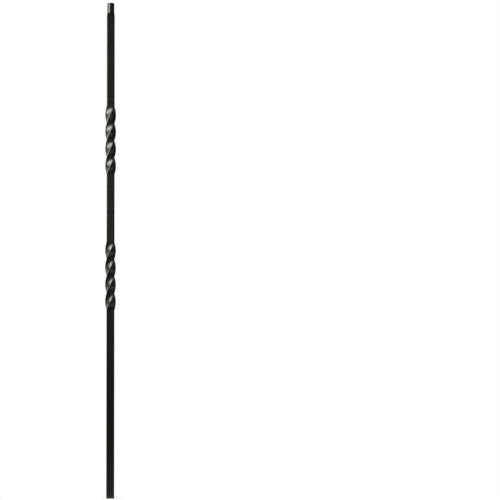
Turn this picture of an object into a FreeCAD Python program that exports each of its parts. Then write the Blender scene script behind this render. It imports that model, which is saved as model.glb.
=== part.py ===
import FreeCAD, Part
import math
import os

# Iron stair baluster: a square bar with two twists and a round dowel at its head.
# Millimetres, +Z up along the bar, origin at the middle of the foot's cut end.

# Square bar
BAR_SIDE = 16.0
CORNER_RADIUS = 1.4

# Lengths along the bar, from the foot up
FOOT_LENGTH = 377.5
TWIST_LENGTH = 142.0
MIDDLE_LENGTH = 132.5
HEAD_LENGTH = 180.0
SHOULDER_LENGTH = 6.0
DOWEL_LENGTH = 20.0

# Twists: how far each one turns, and the length at its ends over which the turning starts and stops
TWIST_DEGREES = 360.0
TWIST_EASE = 4.0
GUIDE_RADIUS = 20.0
GUIDE_STEPS = 64

# Dowel, the shoulder that runs into it, and the cut foot
DOWEL_DIAMETER = 14.3
DOWEL_CHAMFER = 0.8
SHOULDER_FLAT_DEGREES = 36.0
FOOT_CHAMFER = 0.5

SIDES = 4
SIDE_STEP = 360.0 / SIDES
AXIS = FreeCAD.Vector(0, 0, 1)
ORIGIN = FreeCAD.Vector(0, 0, 0)
TOUCHING = 1e-6


def bar_outline(height, turn):
    """Outline of the square bar at a height: flat sides and round corners, turned about the axis."""
    half = BAR_SIDE / 2
    flat_end = half - CORNER_RADIUS
    corner_middle = flat_end + CORNER_RADIUS * math.cos(math.radians(SIDE_STEP / 2))
    edges = []
    for side in range(SIDES):
        flat_start = FreeCAD.Vector(half, -flat_end, height)
        corner_start = FreeCAD.Vector(half, flat_end, height)
        corner_top = FreeCAD.Vector(corner_middle, corner_middle, height)
        corner_end = FreeCAD.Vector(flat_end, half, height)
        flat = Part.makeLine(flat_start, corner_start)
        corner = Part.Arc(corner_start, corner_top, corner_end).toShape()
        for edge in (flat, corner):
            edge.rotate(ORIGIN, AXIS, turn + side * SIDE_STEP)
            edges.append(edge)
    return Part.Wire(edges)


def dowel_outline(height, turn):
    """Outline of the dowel at a height, in arcs that match the bar's flats and corners in turn."""
    radius = DOWEL_DIAMETER / 2
    centre = AXIS * height
    half_flat = SHOULDER_FLAT_DEGREES / 2
    edges = []
    for side in range(SIDES):
        middle = turn + side * SIDE_STEP
        corner_start = middle + half_flat
        corner_end = middle + SIDE_STEP - half_flat
        edges.append(Part.makeCircle(radius, centre, AXIS, middle - half_flat, corner_start))
        edges.append(Part.makeCircle(radius, centre, AXIS, corner_start, corner_end))
    return Part.Wire(edges)


def straight_run(bottom, length, turn):
    """A plain length of the bar."""
    return Part.Face(bar_outline(bottom, turn)).extrude(AXIS * length)


def foot_run():
    """The lowest plain length, with the sharp edge of its cut end taken off."""
    run = straight_run(0, FOOT_LENGTH, 0)
    cut_edges = [edge for edge in run.Edges if edge.BoundBox.ZMax < TOUCHING]
    return run.makeChamfer(FOOT_CHAMFER, cut_edges)


def twist_angle(distance):
    """Turn at a distance along a twist: the rate climbs at the start, holds, and falls at the end."""
    rate = TWIST_DEGREES / (TWIST_LENGTH - TWIST_EASE)
    climb = rate / (2 * TWIST_EASE)
    to_end = TWIST_LENGTH - distance
    if distance < TWIST_EASE:
        return climb * distance ** 2
    if to_end < TWIST_EASE:
        return TWIST_DEGREES - climb * to_end ** 2
    return rate * (distance - TWIST_EASE / 2)


def twist_guide(bottom, turn):
    """The curve that turns about the axis as the bar's section does."""
    points = []
    for step in range(GUIDE_STEPS + 1):
        distance = TWIST_LENGTH * step / GUIDE_STEPS
        angle = math.radians(turn + twist_angle(distance))
        x = GUIDE_RADIUS * math.cos(angle)
        y = GUIDE_RADIUS * math.sin(angle)
        points.append(FreeCAD.Vector(x, y, bottom + distance))
    curve = Part.BSplineCurve()
    curve.interpolate(points)
    return Part.Wire([curve.toShape()])


def twisted_run(bottom, turn):
    """A length of the bar whose section turns about the axis, right-handed, as it rises."""
    spine = Part.Wire([Part.makeLine(AXIS * bottom, AXIS * (bottom + TWIST_LENGTH))])
    sweep = Part.BRepOffsetAPI.MakePipeShell(spine)
    sweep.setAuxiliarySpine(twist_guide(bottom, turn), False, 0)
    sweep.add(bar_outline(bottom, turn))
    sweep.build()
    sweep.makeSolid()
    return sweep.shape()


def shoulder_run(bottom, turn):
    """The swaged shoulder, from the square bar to the round dowel."""
    outlines = [bar_outline(bottom, turn), dowel_outline(bottom + SHOULDER_LENGTH, turn)]
    return Part.makeLoft(outlines, True, True)


def dowel_run(bottom):
    """The round dowel that goes up into the handrail, with a chamfered tip."""
    dowel = Part.makeCylinder(DOWEL_DIAMETER / 2, DOWEL_LENGTH, AXIS * bottom)
    tip = bottom + DOWEL_LENGTH
    tip_edges = [edge for edge in dowel.Edges if edge.BoundBox.ZMin > tip - TOUCHING]
    return dowel.makeChamfer(DOWEL_CHAMFER, tip_edges)


def baluster():
    """The whole bar, one run upon another, as one solid."""
    lower_twist = FOOT_LENGTH
    middle = lower_twist + TWIST_LENGTH
    upper_twist = middle + MIDDLE_LENGTH
    head = upper_twist + TWIST_LENGTH
    shoulder = head + HEAD_LENGTH
    dowel = shoulder + SHOULDER_LENGTH
    middle_turn = TWIST_DEGREES
    head_turn = 2 * TWIST_DEGREES
    upper_runs = [
        twisted_run(lower_twist, 0),
        straight_run(middle, MIDDLE_LENGTH, middle_turn),
        twisted_run(upper_twist, middle_turn),
        straight_run(head, HEAD_LENGTH, head_turn),
        shoulder_run(shoulder, head_turn),
        dowel_run(dowel),
    ]
    return foot_run().multiFuse(upper_runs).Solids[0]


os.makedirs("parts", exist_ok=True)
baluster().exportStep("parts/baluster.step")
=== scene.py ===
import math
import bmesh
import bpy
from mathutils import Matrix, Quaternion, Vector


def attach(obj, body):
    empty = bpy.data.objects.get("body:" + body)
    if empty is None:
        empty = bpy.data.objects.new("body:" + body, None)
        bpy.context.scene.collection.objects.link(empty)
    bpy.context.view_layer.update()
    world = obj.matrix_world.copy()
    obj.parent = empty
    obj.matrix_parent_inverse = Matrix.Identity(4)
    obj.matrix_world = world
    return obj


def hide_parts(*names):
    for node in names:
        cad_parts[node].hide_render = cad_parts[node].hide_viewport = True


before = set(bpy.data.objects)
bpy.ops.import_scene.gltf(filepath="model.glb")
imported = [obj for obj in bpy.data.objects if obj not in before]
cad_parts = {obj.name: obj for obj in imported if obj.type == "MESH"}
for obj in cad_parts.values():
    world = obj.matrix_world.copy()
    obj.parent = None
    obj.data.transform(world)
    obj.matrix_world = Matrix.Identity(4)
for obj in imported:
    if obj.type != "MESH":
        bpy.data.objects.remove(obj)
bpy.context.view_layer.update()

# Sizes of the bar: lengths in metres, and the turn of a twist in radians
BAR_SIDE = 0.016
CORNER_RADIUS = 0.0014
FOOT_LENGTH = 0.3775
TWIST_LENGTH = 0.142
MIDDLE_LENGTH = 0.1325
HEAD_LENGTH = 0.180
SHOULDER_LENGTH = 0.006
DOWEL_LENGTH = 0.020
DOWEL_RADIUS = 0.00715
DOWEL_CHAMFER = 0.0008
FOOT_CHAMFER = 0.0005
SHOULDER_SOFTNESS = 0.0004
TWIST_EASE = 0.004
TWIST_TURN = math.radians(360)

# Fineness of the mesh
SIDES = 4
FLAT_SEGMENTS = 8
CORNER_SEGMENTS = 12
SECTION_POINTS = SIDES * (FLAT_SEGMENTS + CORNER_SEGMENTS)
STRAIGHT_STEP = 0.016
TWIST_STEPS = 128
SOFT_SEGMENTS = 3
ROUND_PROFILE = 0.5
SMOOTH_ANGLE = math.radians(30)
HEIGHT_TOLERANCE = 0.00005


def deselect_everything():
    """Leaves nothing selected, so that an operator acts on new work alone."""
    bpy.ops.object.select_all(action="DESELECT")


def select_edges_between(bar, low, high):
    """Selects the edges of the bar that lie wholly between two heights."""
    bpy.ops.mesh.select_mode(type="EDGE")
    bpy.ops.mesh.select_all(action="DESELECT")
    lowest = low - HEIGHT_TOLERANCE
    highest = high + HEIGHT_TOLERANCE
    mesh = bmesh.from_edit_mesh(bar.data)
    for edge in mesh.edges:
        edge.select_set(all(lowest <= vertex.co.z <= highest for vertex in edge.verts))
    bmesh.update_edit_mesh(bar.data)


def select_rim(bar, height):
    """Selects the rim that runs round the bar at a height."""
    select_edges_between(bar, height, height)


def draw_outline():
    """The bar's section at the foot: a square with round corners and divided flats."""
    deselect_everything()
    bpy.ops.mesh.primitive_plane_add(size=BAR_SIDE, location=(0, 0, 0))
    bar = bpy.context.object
    bar.name = "twisted_bar"
    bar.data.name = "twisted_bar"
    bpy.ops.object.mode_set(mode="EDIT")
    bpy.ops.mesh.select_mode(type="VERT")
    bpy.ops.mesh.select_all(action="SELECT")
    bpy.ops.mesh.bevel(
        offset=CORNER_RADIUS, segments=CORNER_SEGMENTS, affect="VERTICES", profile=ROUND_PROFILE
    )
    bpy.ops.mesh.select_mode(type="EDGE")
    mesh = bmesh.from_edit_mesh(bar.data)
    for edge in mesh.edges:
        edge.select_set(edge.calc_length() > CORNER_RADIUS)
    bmesh.update_edit_mesh(bar.data)
    bpy.ops.mesh.subdivide(number_cuts=FLAT_SEGMENTS - 1)
    bpy.ops.mesh.select_mode(type="FACE")
    bpy.ops.mesh.select_all(action="SELECT")
    return bar


def raise_top(height):
    """Extrudes the selected end of the bar upwards."""
    bpy.ops.mesh.extrude_region_move(TRANSFORM_OT_translate={"value": (0, 0, height)})


def add_straight_run(length):
    """Draws a plain length of bar up from the selected end."""
    steps = round(length / STRAIGHT_STEP)
    for _ in range(steps):
        raise_top(length / steps)


def twist_angle(distance):
    """Turn at a distance along a twist: the rate climbs at the start, holds, and falls at the end."""
    rate = TWIST_TURN / (TWIST_LENGTH - TWIST_EASE)
    climb = rate / (2 * TWIST_EASE)
    to_end = TWIST_LENGTH - distance
    if distance < TWIST_EASE:
        return climb * distance ** 2
    if to_end < TWIST_EASE:
        return TWIST_TURN - climb * to_end ** 2
    return rate * (distance - TWIST_EASE / 2)


def add_twist():
    """Draws a twisted length up from the selected end, right-handed."""
    rise = TWIST_LENGTH / TWIST_STEPS
    for step in range(TWIST_STEPS):
        turn = twist_angle((step + 1) * rise) - twist_angle(step * rise)
        raise_top(rise)
        bpy.ops.transform.rotate(value=-turn, orient_axis="Z", center_override=(0, 0, 0))


def chamfer_selected(width):
    """Takes the sharp edge off the selected rim."""
    bpy.ops.mesh.bevel(offset=width, segments=1)


def soften_selected(width):
    """Rounds the selected rim."""
    bpy.ops.mesh.bevel(offset=width, segments=SOFT_SEGMENTS, profile=ROUND_PROFILE)


def add_dowel(bar, shoulder_bottom):
    """Bridges the square end to a round one and draws the dowel up from it."""
    shoulder_top = shoulder_bottom + SHOULDER_LENGTH
    dowel_top = shoulder_top + DOWEL_LENGTH
    bpy.ops.mesh.delete(type="ONLY_FACE")
    bpy.ops.mesh.primitive_circle_add(
        vertices=SECTION_POINTS, radius=DOWEL_RADIUS, fill_type="NOTHING", location=(0, 0, shoulder_top)
    )
    select_edges_between(bar, shoulder_bottom, shoulder_top)
    bpy.ops.mesh.bridge_edge_loops()
    select_rim(bar, shoulder_top)
    bpy.ops.mesh.edge_face_add()
    bpy.ops.mesh.select_mode(type="FACE")
    raise_top(DOWEL_LENGTH)
    select_rim(bar, dowel_top)
    chamfer_selected(DOWEL_CHAMFER)
    for height in (shoulder_bottom, shoulder_top):
        select_rim(bar, height)
        soften_selected(SHOULDER_SOFTNESS)


def model_baluster():
    """The whole bar: foot, twist, middle, twist, head, shoulder and dowel."""
    bar = draw_outline()
    add_straight_run(FOOT_LENGTH)
    add_twist()
    add_straight_run(MIDDLE_LENGTH)
    add_twist()
    add_straight_run(HEAD_LENGTH)
    shoulder_bottom = FOOT_LENGTH + 2 * TWIST_LENGTH + MIDDLE_LENGTH + HEAD_LENGTH
    add_dowel(bar, shoulder_bottom)
    select_rim(bar, 0)
    chamfer_selected(FOOT_CHAMFER)
    bpy.ops.mesh.select_all(action="SELECT")
    bpy.ops.mesh.normals_make_consistent(inside=False)
    bpy.ops.object.mode_set(mode="OBJECT")
    bpy.ops.object.shade_smooth_by_angle(angle=SMOOTH_ANGLE)
    return bar


def map_range(tree, value, source, target=(0, 1)):
    """Carries a value over from a source range to a target range, and holds it within the target."""
    node = tree.nodes.new("ShaderNodeMapRange")
    node.inputs["From Min"].default_value = source[0]
    node.inputs["From Max"].default_value = source[1]
    node.inputs["To Min"].default_value = target[0]
    node.inputs["To Max"].default_value = target[1]
    tree.links.new(value, node.inputs["Value"])
    return node.outputs["Result"]


# Finish: satin black powder coat
COAT_DARK = (0.0040, 0.0038, 0.0022, 1)
COAT_LIGHT = (0.0055, 0.0053, 0.0032, 1)
COAT_ROUGHNESS = (0.28, 0.32)
COAT_SPECULAR = 0.8
MOTTLING_SCALE = 30
MOTTLING_DETAIL = 4
MOTTLING_RANGE = (0.35, 0.65)
SHEEN_SCALE = 60
SHEEN_DETAIL = 4
SHEEN_RANGE = (0.3, 0.7)
PEEL_SCALE = 900
PEEL_DETAIL = 2
PEEL_STRENGTH = 0.05
PEEL_DEPTH = 0.00004


def coat_pattern(tree, place, scale, detail):
    """An uneven pattern that stays fixed to the bar."""
    noise = tree.nodes.new("ShaderNodeTexNoise")
    noise.inputs["Scale"].default_value = scale
    noise.inputs["Detail"].default_value = detail
    tree.links.new(place.outputs["Object"], noise.inputs["Vector"])
    return noise.outputs["Fac"]


def satin_black_coat():
    """Satin black powder coat: faint mottling, uneven sheen and a fine orange-peel surface."""
    material = bpy.data.materials.new("satin_black_coat")
    material.use_nodes = True
    tree = material.node_tree
    shader = tree.nodes["Principled BSDF"]
    shader.inputs["Specular IOR Level"].default_value = COAT_SPECULAR
    place = tree.nodes.new("ShaderNodeTexCoord")

    mottling = coat_pattern(tree, place, MOTTLING_SCALE, MOTTLING_DETAIL)
    colour = tree.nodes.new("ShaderNodeValToRGB")
    stops = zip(colour.color_ramp.elements, MOTTLING_RANGE, (COAT_DARK, COAT_LIGHT))
    for stop, position, shade in stops:
        stop.position = position
        stop.color = shade
    tree.links.new(mottling, colour.inputs["Fac"])
    tree.links.new(colour.outputs["Color"], shader.inputs["Base Color"])

    sheen = coat_pattern(tree, place, SHEEN_SCALE, SHEEN_DETAIL)
    roughness = map_range(tree, sheen, SHEEN_RANGE, COAT_ROUGHNESS)
    tree.links.new(roughness, shader.inputs["Roughness"])

    peel = coat_pattern(tree, place, PEEL_SCALE, PEEL_DETAIL)
    bump = tree.nodes.new("ShaderNodeBump")
    bump.inputs["Strength"].default_value = PEEL_STRENGTH
    bump.inputs["Distance"].default_value = PEEL_DEPTH
    tree.links.new(peel, bump.inputs["Height"])
    tree.links.new(bump.outputs["Normal"], shader.inputs["Normal"])
    return material


# Studio: azimuths in degrees round the bar, 0 on the camera's side and positive to the left
WHITE = (1, 1, 1, 1)
ROOM_LEVEL = 0.05
ROOM_COLOUR = (1.0, 0.98, 0.86, 1)
BACKDROP_LEVEL = 1
BACKDROP_AZIMUTH = 156
BACKDROP_FULL = 30
BACKDROP_END = 52
FLOOR_RADIUS = 0.032
FLOOR_VERTICES = 96
FLOOR_FADE_START = 0.005
FLOOR_WHITE = (0.6, 0.6, 0.6, 1)
FLOOR_ROUGHNESS = 0.9
FLOOR_SPECULAR = 0
FLOOR_GLOW = (0.7, 0.7, 0.7, 1)
LIGHT_COLOUR = (1.0, 0.985, 0.92)
BOUNCE_HEIGHT = 0.0005
FACING_UP = (math.radians(180), 0, 0)


def towards(azimuth):
    """The level direction from the bar to a place in the studio."""
    turn = math.radians(azimuth)
    return Vector((-math.sin(turn), -math.cos(turn), 0))


def combine(tree, operation, first, second):
    """One value worked out from two, such as their product or the larger of them."""
    node = tree.nodes.new("ShaderNodeMath")
    node.operation = operation
    tree.links.new(first, node.inputs[0])
    tree.links.new(second, node.inputs[1])
    return node.outputs["Value"]


def mirrored_rays(tree, rays):
    """1 for what is seen in a gloss or through glass, and otherwise 0."""
    return combine(tree, "MAXIMUM", rays.outputs["Is Glossy Ray"], rays.outputs["Is Transmission Ray"])


def mix_shaders(tree, share, first, second):
    """The first shader, with a share of the second in its place."""
    mix = tree.nodes.new("ShaderNodeMixShader")
    tree.links.new(share, mix.inputs["Fac"])
    tree.links.new(first, mix.inputs[1])
    tree.links.new(second, mix.inputs[2])
    return mix.outputs["Shader"]


def surroundings(tree, colour, level):
    """An even glow all round the bar."""
    node = tree.nodes.new("ShaderNodeBackground")
    node.inputs["Color"].default_value = colour
    node.inputs["Strength"].default_value = level
    return node.outputs["Background"]


def studio_world():
    """A dim room with a white backdrop, which fills the camera's view and shows in the coat's gloss."""
    world = bpy.data.worlds.new("studio")
    bpy.context.scene.world = world
    world.use_nodes = True
    tree = world.node_tree
    tree.nodes.clear()
    output = tree.nodes.new("ShaderNodeOutputWorld")
    rays = tree.nodes.new("ShaderNodeLightPath")
    direction = tree.nodes.new("ShaderNodeTexCoord")

    nearness = tree.nodes.new("ShaderNodeVectorMath")
    nearness.operation = "DOT_PRODUCT"
    nearness.inputs[1].default_value = towards(BACKDROP_AZIMUTH)
    tree.links.new(direction.outputs["Generated"], nearness.inputs[0])
    rim = [math.cos(math.radians(angle)) for angle in (BACKDROP_END, BACKDROP_FULL)]
    backdrop = map_range(tree, nearness.outputs["Value"], rim)

    mirrored = combine(tree, "MULTIPLY", mirrored_rays(tree, rays), backdrop)
    shown = combine(tree, "MAXIMUM", mirrored, rays.outputs["Is Camera Ray"])
    room = surroundings(tree, ROOM_COLOUR, ROOM_LEVEL)
    white = surroundings(tree, WHITE, BACKDROP_LEVEL)
    tree.links.new(mix_shaders(tree, shown, room, white), output.inputs["Surface"])


def white_floor():
    """White floor that takes the bar's shadow and fades out into the backdrop towards its rim."""
    material = bpy.data.materials.new("studio_floor")
    material.use_nodes = True
    tree = material.node_tree
    shader = tree.nodes["Principled BSDF"]
    shader.inputs["Base Color"].default_value = FLOOR_WHITE
    shader.inputs["Roughness"].default_value = FLOOR_ROUGHNESS
    shader.inputs["Specular IOR Level"].default_value = FLOOR_SPECULAR

    rays = tree.nodes.new("ShaderNodeLightPath")
    shown = combine(tree, "MAXIMUM", mirrored_rays(tree, rays), rays.outputs["Is Camera Ray"])
    glow = tree.nodes.new("ShaderNodeEmission")
    glow.inputs["Color"].default_value = FLOOR_GLOW
    tree.links.new(shown, glow.inputs["Strength"])
    bright = tree.nodes.new("ShaderNodeAddShader")
    tree.links.new(shader.outputs["BSDF"], bright.inputs[0])
    tree.links.new(glow.outputs["Emission"], bright.inputs[1])

    place = tree.nodes.new("ShaderNodeTexCoord")
    reach = tree.nodes.new("ShaderNodeVectorMath")
    reach.operation = "LENGTH"
    tree.links.new(place.outputs["Object"], reach.inputs[0])
    fade = map_range(tree, reach.outputs["Value"], (FLOOR_FADE_START, FLOOR_RADIUS))
    clear = tree.nodes.new("ShaderNodeBsdfTransparent")
    faded = mix_shaders(tree, fade, bright.outputs["Shader"], clear.outputs["BSDF"])
    tree.links.new(faded, tree.nodes["Material Output"].inputs["Surface"])
    return material


def studio_floor():
    """A small round floor under the foot."""
    deselect_everything()
    bpy.ops.mesh.primitive_circle_add(
        vertices=FLOOR_VERTICES, radius=FLOOR_RADIUS, fill_type="NGON", location=(0, 0, 0)
    )
    floor = bpy.context.object
    floor.name = "studio_floor"
    floor.data.materials.append(white_floor())


def add_lamp(name, shape, width, height, power):
    """An area lamp that lights the bar and stays out of the picture."""
    light = bpy.data.lights.new(name, "AREA")
    light.shape = shape
    light.size = width
    light.size_y = height
    light.energy = power
    light.color = LIGHT_COLOUR
    lamp = bpy.data.objects.new(name, light)
    bpy.context.scene.collection.objects.link(lamp)
    lamp.visible_camera = False
    return lamp


def soft_light(name, azimuth, distance, middle, width, height, power, shape="RECTANGLE", roll=0):
    """A soft light that faces the bar, with its middle at a height, upright or rolled about its middle."""
    lamp = add_lamp(name, shape, width, height, power)
    side = towards(azimuth)
    lamp.location = side * distance + Vector((0, 0, middle))
    rolled = Quaternion((0, 0, 1), math.radians(roll))
    lamp.rotation_euler = (side.to_track_quat("Z", "Y") @ rolled).to_euler()


def floor_bounce(width, power):
    """The light that the floor round the foot sends up."""
    lamp = add_lamp("floor_bounce", "ELLIPSE", width, width, power)
    lamp.location = (0, 0, BOUNCE_HEIGHT)
    lamp.rotation_euler = FACING_UP


# Camera: level, square to the bar's front, turned so that the bar stands left of the middle
IMAGE_PIXELS = 500
BAR_PIXEL_X = 110.5
MIDDLE_HEIGHT = 0.5017
VIEW_HEIGHT = 1.0106
LENS = 100.0
SENSOR = 36.0
LEVEL = math.radians(90)
LEAN = math.radians(0.07)


def place_camera():
    """Camera at the photograph's viewing angle, with its slight lean."""
    data = bpy.data.cameras.new("camera")
    data.lens = LENS
    data.sensor_width = SENSOR
    camera = bpy.data.objects.new("camera", data)
    bpy.context.scene.collection.objects.link(camera)
    depth = VIEW_HEIGHT * LENS / SENSOR
    sideways = (IMAGE_PIXELS / 2 - BAR_PIXEL_X) / IMAGE_PIXELS * VIEW_HEIGHT
    turn = math.atan2(sideways, depth)
    camera.location = (0, -math.hypot(depth, sideways), MIDDLE_HEIGHT)
    camera.rotation_euler = (LEVEL, -LEAN, -turn)
    bpy.context.scene.camera = camera


bar = model_baluster()
bar.data.materials.append(satin_black_coat())
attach(bar, "root")
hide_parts("baluster")

studio_world()
studio_floor()
soft_light(
    "left_softbox", azimuth=56, distance=0.85, middle=0.93, width=0.65, height=0.92, power=12.9,
    shape="ELLIPSE", roll=-47
)
soft_light("left_high_card", azimuth=98, distance=0.9, middle=1.12, width=0.8, height=0.45, power=1.9)
soft_light("left_low_card", azimuth=100, distance=0.9, middle=0.25, width=1.0, height=0.45, power=0.7)
soft_light("front_card", azimuth=0, distance=3.2, middle=0.60, width=1.2, height=0.7, power=0.85)
soft_light("right_card", azimuth=-56, distance=1.2, middle=0.37, width=0.8, height=1.0, power=1.25)
soft_light("right_rear_card", azimuth=-125, distance=1.2, middle=0.60, width=1.8, height=1.4, power=0.65)
floor_bounce(width=0.7, power=0.24)
place_camera()

bpy.context.scene.view_settings.view_transform = "Standard"
